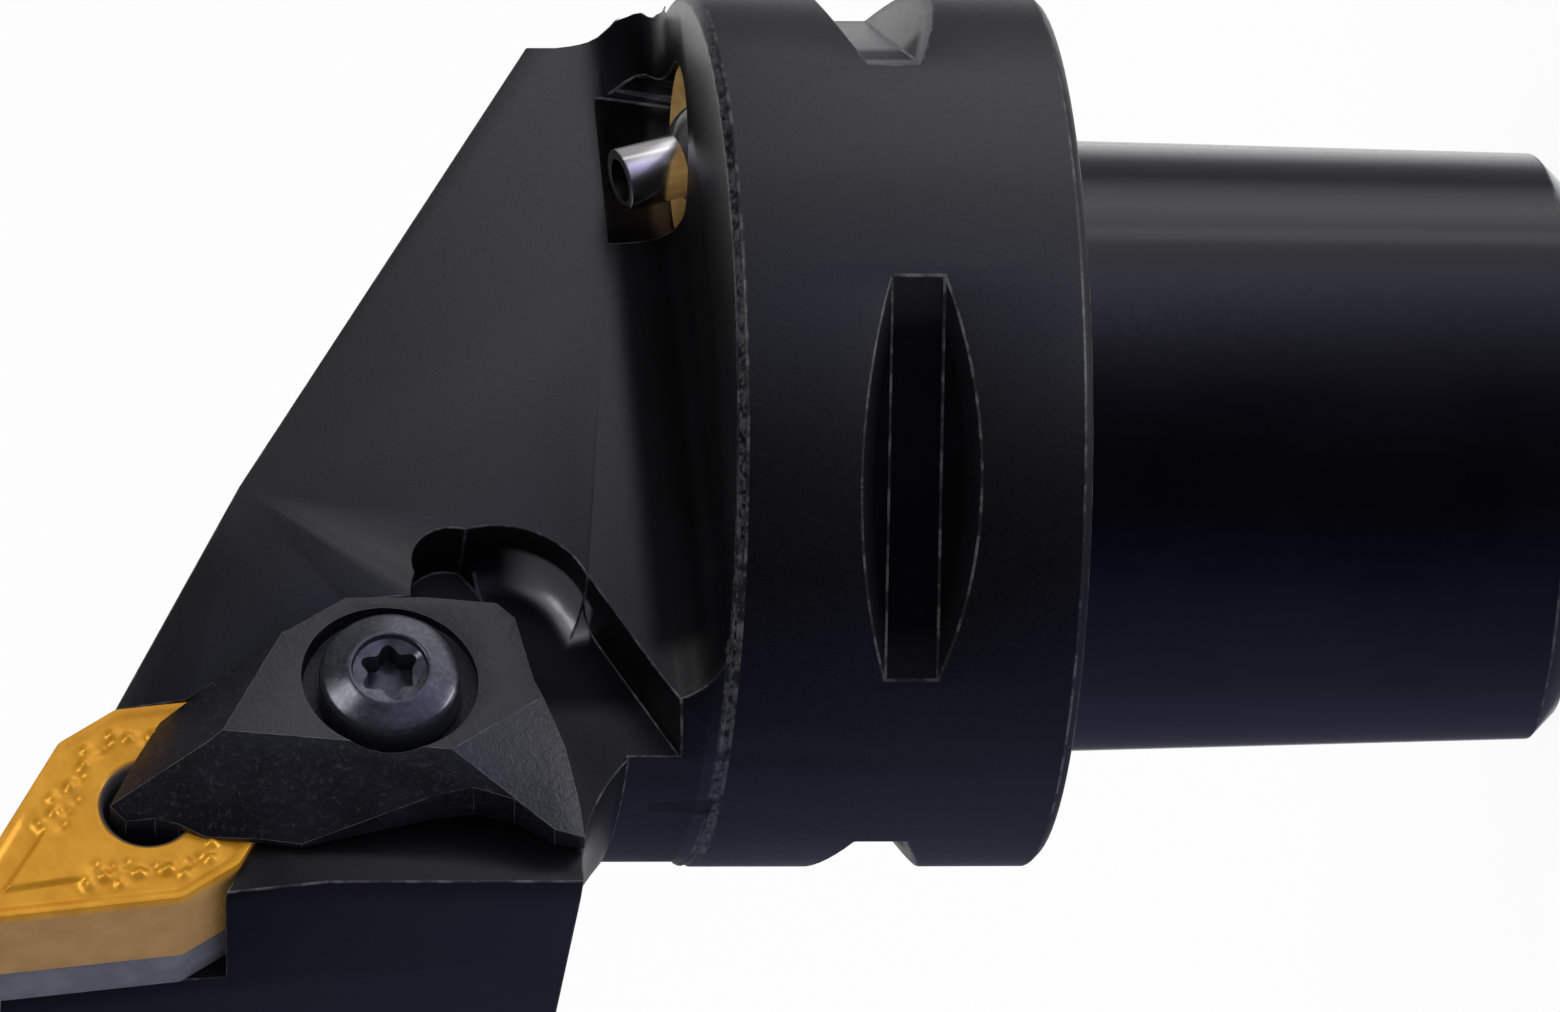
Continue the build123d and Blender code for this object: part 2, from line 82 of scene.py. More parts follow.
nozzleLook = {
    "place": (13.4, -8.4, 17.5), "lean": 18, "ballRadius": 3.4, "boreRadius": 1.2,
    "tubeRadius": 1.85, "tubeEnd": 6.4, "lip": 0.14, "lipSmall": 0.04, "lipLarge": 0.05,
    "ballSteps": 28, "around": 72, "smoothFrom": 35,
}
nozzleMatrix = Matrix.Translation(Vector(nozzleLook["place"]) * mm)
nozzleMatrix = nozzleMatrix @ Matrix.Rotation(-radians(nozzleLook["lean"]), 4, "Y")


def deselectAll():
    if bpy.context.object and bpy.context.object.mode != "OBJECT":
        bpy.ops.object.mode_set(mode="OBJECT")
    bpy.ops.object.select_all(action="DESELECT")


def pick(piece):
    deselectAll()
    piece.select_set(True)
    bpy.context.view_layer.objects.active = piece


def startEditing(piece, chosen="DESELECT"):
    pick(piece)
    bpy.ops.object.mode_set(mode="EDIT")
    bpy.ops.mesh.select_mode(type="VERT")
    bpy.ops.mesh.select_all(action=chosen)


def stopEditing():
    bpy.ops.object.mode_set(mode="OBJECT")


def selectPoints(piece, test):
    stopEditing()
    for point in piece.data.vertices:
        point.select = test(point)
    for edge in piece.data.edges:
        edge.select = all(piece.data.vertices[i].select for i in edge.vertices)
    for face in piece.data.polygons:
        face.select = all(piece.data.vertices[i].select for i in face.vertices)
    bpy.ops.object.mode_set(mode="EDIT")


def bevelEdges(piece, look):
    pick(piece)
    bevel = piece.modifiers.new("Bevel", "BEVEL")
    bevel.width = look["edge"] * mm
    bevel.segments = look["edgeSteps"]
    bevel.limit_method = "ANGLE"
    bevel.angle_limit = radians(look["sharpFrom"])
    bevel.use_clamp_overlap = look.get("heldBack", True)
    bevel.material = look.get("edgeMaterial", -1)
    bpy.ops.object.modifier_apply(modifier=bevel.name)


def placeAt(piece, matrix):
    pick(piece)
    piece.matrix_world = matrix
    bpy.ops.object.transform_apply(location=True, rotation=True, scale=True)


def closeMesh(piece, gap=2e-6):
    startEditing(piece, "SELECT")
    bpy.ops.mesh.remove_doubles(threshold=gap)
    bpy.ops.mesh.normals_make_consistent(inside=False)
    stopEditing()


def smoothByAngle(piece, look):
    pick(piece)
    bpy.ops.object.shade_smooth_by_angle(angle=radians(look["smoothFrom"]))


def mergedCopy(node, name, flatAngle=0.3, gap=3e-6):
    piece = bpy.data.objects.new(name, frame["nodes"][node].data.copy())
    bpy.context.scene.collection.objects.link(piece)
    piece.data.materials.clear()
    startEditing(piece, "SELECT")
    bpy.ops.mesh.remove_doubles(threshold=gap)
    bpy.ops.mesh.customdata_custom_splitnormals_clear()
    bpy.ops.mesh.dissolve_limited(angle_limit=radians(flatAngle))
    stopEditing()
    return piece


def spunShape(name, profile, steps):
    # the profile's (radius, height) pairs are spun about the local z axis
    bpy.ops.mesh.primitive_plane_add(size=mm)
    piece = bpy.context.object
    piece.name = name
    startEditing(piece, "SELECT")
    bpy.ops.mesh.merge(type="CENTER")
    stopEditing()
    piece.data.vertices[0].co = Vector((profile[0][0], 0, profile[0][1])) * mm
    piece.data.vertices[0].select = True
    startEditing(piece, "SELECT")
    for (nearRadius, nearHeight), (radius, height) in zip(profile, profile[1:]):
        step = Vector((radius - nearRadius, 0, height - nearHeight)) * mm
        bpy.ops.mesh.extrude_region_move(TRANSFORM_OT_translate={"value": step})
    bpy.ops.mesh.select_all(action="SELECT")
    bpy.ops.mesh.spin(steps=steps, angle=2 * pi, center=(0, 0, 0), axis=(0, 0, 1))
    stopEditing()
    closeMesh(piece)
    return piece


def dress(piece, material, body, slot, *nodes):
    if not piece.data.materials:
        piece.data.materials.append(material)
    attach(piece, body)
    if nodes:
        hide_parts(*nodes)


def easing(value, low, high):
    part = min(max((value - low) / (high - low), 0), 1)
    return part * part * (3 - 2 * part)


def feed(tree, entry, value):
    if isinstance(value, Wire):
        tree.links.new(value.socket, entry)
    elif entry.type == "RGBA":
        entry.default_value = tuple(value) + (1,)
    else:
        entry.default_value = value


class Wire:  # a socket that can be added, multiplied and so on
    def __init__(self, tree, socket):
        self.tree = tree
        self.socket = socket

    def maths(self, operation, first, second):
        node = self.tree.nodes.new("ShaderNodeMath")
        node.operation = operation
        feed(self.tree, node.inputs[0], first)
        feed(self.tree, node.inputs[1], second)
        return Wire(self.tree, node.outputs[0])

    def __add__(self, other):
        return self.maths("ADD", self, other)

    def __radd__(self, other):
        return self.maths("ADD", other, self)

    def __sub__(self, other):
        return self.maths("SUBTRACT", self, other)

    def __rsub__(self, other):
        return self.maths("SUBTRACT", other, self)

    def __mul__(self, other):
        return self.maths("MULTIPLY", self, other)

    def __rmul__(self, other):
        return self.maths("MULTIPLY", other, self)

    def __pow__(self, other):
        return self.maths("POWER", self, other)


def farFrom(first, second):
    return (first * first + second * second) ** 0.5


class Finish:  # one material's nodes
    def __init__(self, holder):
        holder.use_nodes = True
        self.holder = holder
        self.tree = holder.node_tree
        self.tree.nodes.clear()

    def node(self, kind, settings=None, sockets=None, out=0):
        made = self.tree.nodes.new("ShaderNode" + kind)
        for name, value in (settings or {}).items():
            if name == "stops":
                ramp = made.color_ramp.elements
                while len(ramp) < len(value):
                    ramp.new(0.5)
                for element, (position, colour) in zip(ramp, value):
                    element.position = position
                    element.color = tuple(colour) + (1,)
            else:
                setattr(made, name, value)
        for name, value in (sockets or {}).items():
            feed(self.tree, made.inputs[name], value)
        return Wire(self.tree, made.outputs[out]) if len(made.outputs) else None

    def place(self):
        return self.node("TexCoord", out="Object")

    def axes(self, vector):
        split = self.node("SeparateXYZ", None, {0: vector})
        return [Wire(self.tree, socket) for socket in split.socket.node.outputs]

    def axesOf(self, place, matrix):
        back = matrix.inverted()
        turned = {"Rotation": tuple(back.to_euler()), "Location": tuple(back.translation)}
        return self.axes(self.node("Mapping", None, {"Vector": place, **turned}))

    def step(self, value, low, high):
        settings = {"interpolation_type": "SMOOTHSTEP"}
        return self.node("MapRange", settings, {0: value, 1: low, 2: high, 3: 0, 4: 1})

    def most(self, first, second):
        return first.maths("MAXIMUM", first, second)

    def noise(self, vector, size, detail=3, rough=0.55):
        sockets = {"Vector": vector, "Scale": 1 / size, "Detail": detail, "Roughness": rough}
        return self.node("TexNoise", {"noise_dimensions": "3D"}, sockets)

    def lines(self, value, size, detail):
        sockets = {"W": value * (1 / size), "Scale": 1, "Detail": detail}
        return self.node("TexNoise", {"noise_dimensions": "1D"}, sockets)

    def mix(self, factor, first, second):
        return self.node("Mix", {"data_type": "RGBA"}, {0: factor, 6: first, 7: second}, 2)

    def clouded(self, cloud, spread, colours):
        return self.mix(self.step(cloud, *spread), *colours)

    def bump(self, height, depth, before=None):
        sockets = {"Strength": 1, "Distance": depth, "Height": height}
        if before:
            sockets["Normal"] = before
        return self.node("Bump", None, sockets)

    def surface(self, sockets):
        shader = self.node("BsdfPrincipled", None, sockets)
        self.node("OutputMaterial", None, {"Surface": shader})
        return self.holder


def newFinish(name):
    return Finish(bpy.data.materials.new(name))


blackLook = {
    # bands in metres: flange and shank; recesses, pocket, undercut and gripping grooves, darkened by a
    # low-gloss shader as painted shade;
    # the pocket's root, given a brighter metal colour as a painted highlight; the flange's rim,
    # lightened in patches as a painted highlight
    "bands": {
        "shankTop": (-0.0004, 0.0002), "turnedRim": (0.0243, 0.0247),
        "flangeFace": (0.0205, 0.0215), "neckFoot": (0.0209, 0.0213),
        "recessFloor": (-0.0057, -0.0045), "pocketFloor": (-0.0023, -0.0020),
        "pocketSide": (-0.0225, -0.0205), "pocketTop": (0.031, 0.035),
        "undercutFoot": (0.0206, 0.0214), "undercutTop": (0.0232, 0.0249),
        "undercutSide": (-0.0215, -0.0195), "grooveFloor": (0.0236, 0.0243),
        "grooveFoot": (0.0004, 0.0006), "grooveTop": (0.0200, 0.0201),
        "grooveSide": (0.012, 0.014), "rootBack": (-0.0042, -0.0036),
        "rootFront": (-0.0021, -0.0019), "rootInner": (0.0025, 0.0034),
        "rootOuter": (0.0053, 0.0055), "rootTop": (0.0285, 0.032),
        "rimFoot": (0.0197, 0.0199), "rimInner": (0.0239, 0.0242), "rimTop": (0.0203, 0.0205),
    },
    "rootCentre": (-0.0168, 0.0323),
    "cloud": (0.009, 3), "grain": (0.00022, 2, 0.6), "speck": (0.0005, 4, 0.7),
    "rings": (0.00016, 3),
    "spread": (0.35, 0.68), "colours": ((0.0006, 0.0006, 0.001), (0.0014, 0.0014, 0.002)),
    "speckSpread": (0.6, 0.8), "speckShare": 0.25, "speckColour": (0.01, 0.01, 0.012),
    "grainSpread": (0.45, 0.7), "grainShare": 0.5, "grainColour": (0.0035, 0.0035, 0.005),
    "rimSpread": (0.4, 0.6), "paintedRimHighlight": (0.035, 0.035, 0.04),
    "paintedRootHighlight": (0.2, 0.2, 0.215),
    "rough": (0.25, 0.16), "turnedRough": 0.04, "shankRough": 0.17, "paintedShadeRough": 0.1,
    "speckBump": 0.5, "grainDepth": 0.000007, "shankRings": 0.5, "ringDepth": 0.000003,
    "glance": 1.5, "paintedShadeGloss": 0.05,
    "recessPaintedShade": 0.35, "pocketPaintedShade": 0.55, "undercutPaintedShade": 0.92, "groovePaintedShade": 0.9,
}


def blackSteel():
    look = blackLook
    finish = newFinish("blackenedSteel")

    def past(value, band):
        return finish.step(value, *look["bands"][band])

    def before(value, band):
        return 1 - past(value, band)

    place = finish.place()
    x, y, z = finish.axes(place)
    radius = farFrom(x, y)
    shank = before(z, "shankTop")
    turned = past(radius, "turnedRim") * (1 - shank) * before(z, "flangeFace")
    recess = past(y, "recessFloor") * past(z, "neckFoot")
    pocket = past(y, "pocketFloor") * past(x, "pocketSide") * past(z, "neckFoot")
    pocket = pocket * before(z, "pocketTop")
    undercut = past(z, "undercutFoot") * before(z, "undercutTop") * past(x, "undercutSide")
    grooves = before(radius, "grooveFloor") * past(z, "grooveFoot") * before(z, "grooveTop")
    grooves = grooves * before(x, "grooveSide")
    rootX, rootZ = look["rootCentre"]
    fromRoot = farFrom(x - rootX, z - rootZ)
    root = past(y, "rootBack") * before(y, "rootFront") * past(fromRoot, "rootInner")
    root = root * before(fromRoot, "rootOuter") * before(z, "rootTop")
    rim = past(z, "rimFoot") * past(radius, "rimInner") * before(z, "rimTop")

    cloud = finish.noise(place, *look["cloud"])
    grain = finish.noise(place, *look["grain"])
    speck = finish.noise(place, *look["speck"])
    rings = finish.lines(z, *look["rings"])
    tint = finish.clouded(cloud, look["spread"], look["colours"])
    speckShare = finish.step(speck, *look["speckSpread"]) * look["speckShare"]
    tint = finish.mix(speckShare, tint, look["speckColour"])
    grainShare = finish.step(grain, *look["grainSpread"]) * turned * look["grainShare"]
    tint = finish.mix(grainShare, tint, look["grainColour"])
    # the flange's rim lighter in patches: a painted highlight for the edge's light line
    tint = finish.mix(rim * finish.step(speck, *look["rimSpread"]), tint, look["paintedRimHighlight"])
    # the pocket's root a brighter metal colour: a painted highlight that strengthens the lamp's
    # reflection there
    tint = finish.mix(root, tint, look["paintedRootHighlight"])
    rough = look["rough"][0] + look["rough"][1] * speck
    rough = rough + turned * look["turnedRough"] - shank * look["shankRough"]
    height = grain * (1 - shank) + speck * look["speckBump"] * (1 - shank)
    worn = finish.bump(height, look["grainDepth"])
    worn = finish.bump(rings * (turned + shank * look["shankRings"]), look["ringDepth"], worn)
    shared = {"Base Color": tint, "Normal": worn, "IOR": look["glance"]}
    steel = finish.node("BsdfPrincipled", None, {**shared, "Roughness": rough, "Metallic": root})
    # a shader of little gloss mixed over recesses, pocket, undercut and grooves: painted shade where
    # the hollows fall dark
    paintedShade = finish.node("BsdfPrincipled", None, {
        **shared, "Roughness": rough + look["paintedShadeRough"], "Specular IOR Level": look["paintedShadeGloss"]})
    share = finish.most(recess * look["recessPaintedShade"] + pocket * look["pocketPaintedShade"],
                        undercut * look["undercutPaintedShade"])
    share = finish.most(share, grooves * look["groovePaintedShade"])
    mixed = finish.node("MixShader", None, {0: share, 1: steel, 2: paintedShade})
    finish.node("OutputMaterial", None, {"Surface": mixed})
    return finish.holder


plainLooks = {  # clouds of two colours with a fine grain
    # lighter holder bevels: partly edge wear, partly a painted highlight for the edges' light lines
    "rubbedSteelEdgeAndHighlight": {
        "cloud": (0.0014, 4, 0.65), "spread": (0.44, 0.66),
        "colours": ((0.008, 0.008, 0.009), (0.085, 0.085, 0.09)),
        "grain": (0.00022, 2, 0.6), "rough": (0.3, 0.16), "cloudMetal": 0.35, "depth": 0.000004,
    },
    # lighter clamp bevels: partly edge wear, partly a painted highlight for the ridges' light lines
    "rubbedForgedEdgeAndHighlight": {
        "cloud": (0.0011, 3, 0.6), "spread": (0.34, 0.58),
        "colours": ((0.015, 0.015, 0.018), (0.12, 0.12, 0.13)),
        "grain": (0.00035, 4, 0.75), "rough": (0.28, 0.16), "cloudMetal": 0.5, "depth": 0.00002,
    },
    "bareCarbide": {
        "cloud": (0.002, 3), "spread": (0.35, 0.7),
        "colours": ((0.11, 0.112, 0.135), (0.15, 0.152, 0.18)),
        "grain": (0.00014, 3, 0.6), "rough": (0.42, 0.15), "metal": 0.25, "depth": 0.000003,
    },
    "brass": {
        "cloud": (0.0015, 3), "spread": (0.35, 0.7),
        "colours": ((0.72, 0.42, 0.13), (0.9, 0.6, 0.24)),
        "grain": (0.0003, 3), "rough": (0.24, 0.16), "metal": 0.55, "depth": 0.000003,
    },
    "springSteel": {
        "cloud": (0.0004, 3), "spread": (0.35, 0.7),
        "colours": ((0.3, 0.3, 0.31), (0.42, 0.42, 0.43)),
        "grain": (0.0004, 3), "rough": (0.3, 0.1), "metal": 1.0, "depth": 0,
    },
    "sealRubber": {
        "cloud": (0.0002, 3), "spread": (0.35, 0.7),
        "colours": ((0.012, 0.012, 0.012), (0.022, 0.022, 0.022)),
        "grain": (0.0002, 3), "rough": (0.55, 0.2), "metal": 0, "depth": 0.000006,
    },
}


def plainFinish(name):
    look = plainLooks[name]
    finish = newFinish(name)
    place = finish.place()
    cloud = finish.step(finish.noise(place, *look["cloud"]), *look["spread"])
    grain = finish.noise(place, *look["grain"])
    sockets = {
        "Base Color": finish.mix(cloud, *look["colours"]),
        "Roughness": look["rough"][0] + look["rough"][1] * grain,
        "Metallic": look["cloudMetal"] * cloud if "cloudMetal" in look else look["metal"],
    }
    if look["depth"]:
        sockets["Normal"] = finish.bump(grain, look["depth"])
    return finish.surface(sockets)


coatedLook = {
    "flank": (-0.0009, -0.0003), "hole": (0.00262, 0.00295),
    "cloud": (0.0016, 4, 0.6), "grain": (0.00012, 3, 0.6), "spread": (0.3, 0.7),
    "gold": ((0.62, 0.27, 0.012), (0.72, 0.34, 0.022)),
    "side": ((0.36, 0.2, 0.055), (0.42, 0.235, 0.07)), "holeColour": (0.16, 0.15, 0.17),
    "rough": (0.26, 0.14), "flankRough": 0.14, "metal": 0.5, "flankMetal": 0.3,
    "cloudBump": 0.6, "depth": 0.000004,
}


def coatedCarbide():
    look = coatedLook
    finish = newFinish("goldCoatedCarbide")
    place = finish.place()
    x, y, z = finish.axesOf(place, seatMatrix)
    flank = 1 - finish.step(z, *look["flank"])
    hole = 1 - finish.step(farFrom(x, y), *look["hole"])
    cloud = finish.noise(place, *look["cloud"])
    grain = finish.noise(place, *look["grain"])
    gold = finish.clouded(cloud, look["spread"], look["gold"])
    side = finish.clouded(cloud, look["spread"], look["side"])
    rough = look["rough"][0] + look["rough"][1] * grain + look["flankRough"] * flank
    return finish.surface({
        "Base Color": finish.mix(hole, finish.mix(flank, gold, side), look["holeColour"]),
        "Roughness": rough,
        "Metallic": look["metal"] - look["flankMetal"] * flank,
        "Normal": finish.bump(grain + cloud * look["cloudBump"], look["depth"]),
    })


forgedLook = {
    "cloud": (0.004, 3), "spread": (0.35, 0.7),
    "colours": ((0.002, 0.002, 0.004), (0.005, 0.005, 0.009)),
    "grain": (0.00035, 4, 0.75), "pits": (0.0011, 3, 0.6),
    "grainSpread": (0.52, 0.74), "grainShare": 0.6, "grainColour": (0.03, 0.03, 0.038),
    "rough": (0.27, 0.2), "depth": 0.00004,
}


def forgedSteel():
    look = forgedLook
    finish = newFinish("forgedBlackSteel")
    place = finish.place()
    grain = finish.noise(place, *look["grain"])
    pits = finish.noise(place, *look["pits"])
    colour = finish.clouded(finish.noise(place, *look["cloud"]), look["spread"], look["colours"])
    grainShare = finish.step(grain, *look["grainSpread"]) * look["grainShare"]
    return finish.surface({
        "Base Color": finish.mix(grainShare, colour, look["grainColour"]),
        "Roughness": look["rough"][0] + look["rough"][1] * grain,
        "Normal": finish.bump(grain + pits, look["depth"]),
    })


screwSteelLook = {
    "rings": (0.00012, 2), "grain": (0.0003, 3), "spread": (0.4, 0.7),
    "colours": ((0.08, 0.084, 0.095), (0.11, 0.116, 0.135)),
    "rough": (0.2, 0.1), "metal": 0.9, "depth": 0.000002,
}


def screwSteel():
    look = screwSteelLook
    finish = newFinish("blueBlackScrewSteel")
    place = finish.place()
    across, up = finish.axesOf(place, screwMatrix)[:2]
    rings = finish.lines(farFrom(across, up), *look["rings"])
    grain = finish.noise(place, *look["grain"])
    return finish.surface({
        "Base Color": finish.clouded(grain, look["spread"], look["colours"]),
        "Roughness": look["rough"][0] + look["rough"][1] * grain,
        "Metallic": look["metal"],
        "Normal": finish.bump(rings + grain, look["depth"]),
    })


brightLook = {
    "bore": (0.00126, 0.00132), "paintedBoreShade": (0.03, 0.028, 0.026), "boreRough": 0.2,
    "grain": (0.0003, 3), "rings": (0.0002, 2), "streak": (0.0015, 2), "spread": (0.35, 0.7),
    "colours": ((0.86, 0.83, 0.79), (0.95, 0.93, 0.9)),
    "rough": (0.14, 0.08), "grainBump": 0.4, "depth": 0.0000006,
}


def brightSteel():
    look = brightLook
    finish = newFinish("brightSteel")
    place = finish.place()
    x, y, z = finish.axesOf(place, nozzleMatrix)
    # the bore's wall is painted dark: painted shade inside the tube
    bore = 1 - finish.step(farFrom(x, y), *look["bore"])
    grain = finish.noise(place, *look["grain"])
    rings = finish.lines(z, *look["rings"])
    streak = finish.noise(place, *look["streak"])
    colour = finish.clouded(streak, look["spread"], look["colours"])
    return finish.surface({
        "Base Color": finish.mix(bore, colour, look["paintedBoreShade"]),
        "Roughness": look["rough"][0] + look["rough"][1] * grain + look["boreRough"] * bore,
        "Metallic": 1.0,
        "Normal": finish.bump(rings + grain * look["grainBump"], look["depth"]),
    })


finishes = {
    "black_steel": blackSteel(),
    "coated_carbide": coatedCarbide(),
    "bare_carbide": plainFinish("bareCarbide"),
    "screw_steel": screwSteel(),
    "forged_steel": forgedSteel(),
    "spring_steel": plainFinish("springSteel"),
    "bright_steel": brightSteel(),
    "brass": plainFinish("brass"),
    "seal_rubber": plainFinish("sealRubber"),
}
print("materials made")

holderLook = {
    "mergeGap": 0.04, "edge": 0.1, "edgeSteps": 2, "sharpFrom": 24, "smoothFrom": 32,
    "heldBack": False, "edgeMaterial": 1,
    "pocketCentre": (-16.8, 32.3), "pocketRadius": 5.2, "pocketFloor": -1.9, "pocketAbove": 2,
    "pocketRoot": 1.9, "rootSteps": 8, "floorSlack": 0.03, "arcSlack": 0.06,
    "rise": 1.75, "riseAlong": (20.3, 21.6), "riseUp": (12, 21), "reach": 24.8,
    "dipFill": 0.8, "dipPlace": 22.2, "dipWidth": 1.1, "slope": 30.7, "slopeFrom": (26, 29),
}
holder = mergedCopy("holder_body", "holderSteel", gap=holderLook["mergeGap"] * mm)
holder.data.materials.append(finishes["black_steel"])
# bevel faces take the lighter edge finish, partly wear and partly painted highlight
holder.data.materials.append(plainFinish("rubbedSteelEdgeAndHighlight"))

# ball-milled root of the pocket beside the clamp
centreX, centreZ = holderLook["pocketCentre"]


def onPocketArc(point):
    x, y, z = point.co / mm
    fromArc = hypot(x - centreX, z - centreZ) - holderLook["pocketRadius"]
    onFloor = abs(y - holderLook["pocketFloor"]) < holderLook["floorSlack"]
    return onFloor and abs(fromArc) < holderLook["arcSlack"] and z < centreZ + holderLook["pocketAbove"]


selectPoints(holder, onPocketArc)
bpy.ops.mesh.select_mode(type="EDGE")
bpy.ops.mesh.bevel(
    offset=holderLook["pocketRoot"] * mm, segments=holderLook["rootSteps"], profile=0.5,
    affect="EDGES", clamp_overlap=False)
stopEditing()

# the head's upper end reaches a little higher than its round section
slopeShare = tan(radians(holderLook["slope"]))
for point in holder.data.vertices:
    upward, along = point.co.x / mm, point.co.z / mm
    fromDip = (along - holderLook["dipPlace"]) / holderLook["dipWidth"]
    lift = holderLook["rise"] * easing(along, *holderLook["riseAlong"])
    lift += holderLook["dipFill"] * exp(-(fromDip ** 2))
    lift *= easing(upward, *holderLook["riseUp"])
    lift = min(lift, max(holderLook["reach"] - upward, 0))
    point.co.x += lift * mm
    point.co.z -= lift * mm * slopeShare * easing(along, *holderLook["slopeFrom"])
bevelEdges(holder, holderLook)
for point in holder.data.vertices:  # the bevel stays inside the solid's own reach
    point.co.x = min(point.co.x, cadBox[1][0])
smoothByAngle(holder, holderLook)
dress(holder, finishes["black_steel"], "holder", "black_steel", "holder_body")
print("holder shaped", len(holder.data.polygons))

shimLook = {"edge": 0.12, "edgeSteps": 2, "sharpFrom": 30, "smoothFrom": 30}
shim = mergedCopy("shim", "shimPlate")
bevelEdges(shim, shimLook)
smoothByAngle(shim, shimLook)
dress(shim, finishes["bare_carbide"], "holder", "bare_carbide", "shim")
print("shim shaped")

insertLook = {
    "circle": 12.7, "angle": 55, "thickness": 6.35, "sideFlat": 6.15,
    "cornerRadius": 0.8, "cornerSteps": 16, "holeRadius": 2.58, "holeRim": 0.35,
    "edge": 0.06, "edgeSteps": 2, "sharpFrom": 62, "smoothFrom": 50,
    "around": 320, "across": 60, "wallCuts": 6, "holeCuts": 4,
    "land": 0.3, "landStart": 0.18, "channelDepth": 0.14, "channelRise": 0.5,
    "channelFall": 0.7, "channelEnd": 2.1,
    "arrowTip": 9.5, "arrowFrom": (5.3, 6.7), "arrowAngle": 25, "arrowDepth": 0.3,
    "arrowSide": (-0.05, 0.3), "arrowRise": 0.6,
    "bumpHeight": 0.24, "bumpRadius": 0.36,
    "bumps": ((5.7, 2.45), (4.7, 2.6), (4.2, 3.4), (3.0, 3.5), (1.5, 4.2), (-0.9, 4.8), (0.9, 4.9)),
    "pitDepth": 0.16, "pitRadius": 0.34,
    "pits": ((4.85, 1.6), (4.1, 2.2), (3.3, 2.5), (2.2, 3.6), (0.2, 4.4)),
}


def insertOutline(look):
    # rounded rhombus with flats at its blunt corners
    half = radians(look["angle"] / 2)
    long = look["circle"] / 2 / sin(half)
    wide = look["circle"] / 2 / cos(half)
    side = look["sideFlat"]
    flat = long * (wide - side) / wide
    corners = [(long, 0), (flat, side), (-flat, side), (-long, 0), (-flat, -side), (flat, -side)]
    path = []
    for index, corner in enumerate(corners):
        before = Vector(corners[index - 1]) - Vector(corner)
        after = Vector(corners[(index + 1) % len(corners)]) - Vector(corner)
        between = before.angle(after)
        inward = (before.normalized() + after.normalized()).normalized()
        middle = Vector(corner) + inward * (look["cornerRadius"] / sin(between / 2))
        reach = look["cornerRadius"] / tan(between / 2)
        first = Vector(corner) + before.normalized() * reach - middle
        for step in range(look["cornerSteps"] + 1):
            angle = (pi - between) * step / look["cornerSteps"]
            path.append((middle.x + first.x * cos(angle) - first.y * sin(angle),
                         middle.y + first.x * sin(angle) + first.y * cos(angle)))
    # even spacing along the closed path
    lengths = [hypot(path[i][0] - path[i - 1][0], path[i][1] - path[i - 1][1])
               for i in range(len(path))]
    points = []
    walked = 0
    index = 1
    for step in range(look["around"]):
        target = sum(lengths) * step / look["around"]
        while walked + lengths[index % len(path)] < target:
            walked += lengths[index % len(path)]
            index += 1
        start = path[(index - 1) % len(path)]
        end = path[index % len(path)]
        part = (target - walked) / max(lengths[index % len(path)], 1e-9)
        points.append((start[0] + (end[0] - start[0]) * part, start[1] + (end[1] - start[1]) * part))
    return points


def edgeDistance(across, up, look):
    half = radians(look["angle"] / 2)
    slanted = look["circle"] / 2 - (across * sin(half) + up * cos(half))
    tip = (look["circle"] / 2 - look["cornerRadius"]) / sin(half)
    if across > tip and across - tip > up * tan(half):
        return min(slanted, look["cornerRadius"] - hypot(across - tip, up))
    return min(slanted, look["sideFlat"] - up)


def moundHeight(across, up, places, height, radius):
    return sum(height * exp(-((hypot(across - placeX, up - placeY) / radius) ** 2))
               for placeX, placeY in places)


def breakerHeight(x, y, look):
    across, up = abs(x), abs(y)
    inward = edgeDistance(across, up, look)
    # soft channel behind the land, deeper round the arrow that points at the nose
    channel = easing(inward, look["landStart"], look["land"] + look["channelRise"])
    channel *= 1 - easing(inward, look["channelEnd"] - look["channelFall"], look["channelEnd"])
    lean = radians(look["arrowAngle"])
    beside = up * cos(lean) - (look["arrowTip"] - across) * sin(lean)
    nose = easing(across, *look["arrowFrom"])
    arrow = easing(beside, *look["arrowSide"]) * nose
    arrow *= easing(inward, look["landStart"], look["land"] + look["arrowRise"])
    height = -look["channelDepth"] * channel * (1 - nose) - look["arrowDepth"] * arrow
    height += moundHeight(across, up, look["bumps"], look["bumpHeight"], look["bumpRadius"])
    height -= moundHeight(across, up, look["pits"], look["pitDepth"], look["pitRadius"])
    return height * easing(inward, 0, look["land"])


# top face from outline to hole rim, its heights, the rim's slope, a mirrored copy, the walls
around = insertLook["around"]
bpy.ops.mesh.primitive_circle_add(vertices=around, radius=mm)
insert = bpy.context.object
insert.name = "cuttingInsert"
outline = insertOutline(insertLook)
rimRadius = insertLook["holeRadius"] + insertLook["holeRim"]
for point, (x, y) in zip(insert.data.vertices, outline):
    point.co = Vector((x, y, 0)) * mm
startEditing(insert)
bpy.ops.mesh.primitive_circle_add(vertices=around, radius=rimRadius * mm)
stopEditing()
for point, (x, y) in zip(insert.data.vertices[around:], outline):
    point.co = Vector((x, y, 0)).normalized() * rimRadius * mm
startEditing(insert, "SELECT")
bpy.ops.mesh.bridge_edge_loops(number_cuts=insertLook["across"], interpolation="LINEAR")
stopEditing()
for point in insert.data.vertices:
    point.co.z = breakerHeight(point.co.x / mm, point.co.y / mm, insertLook) * mm
selectPoints(insert, lambda point: around <= point.index < 2 * around)
bpy.ops.mesh.extrude_edges_move()
shrink = insertLook["holeRadius"] / rimRadius
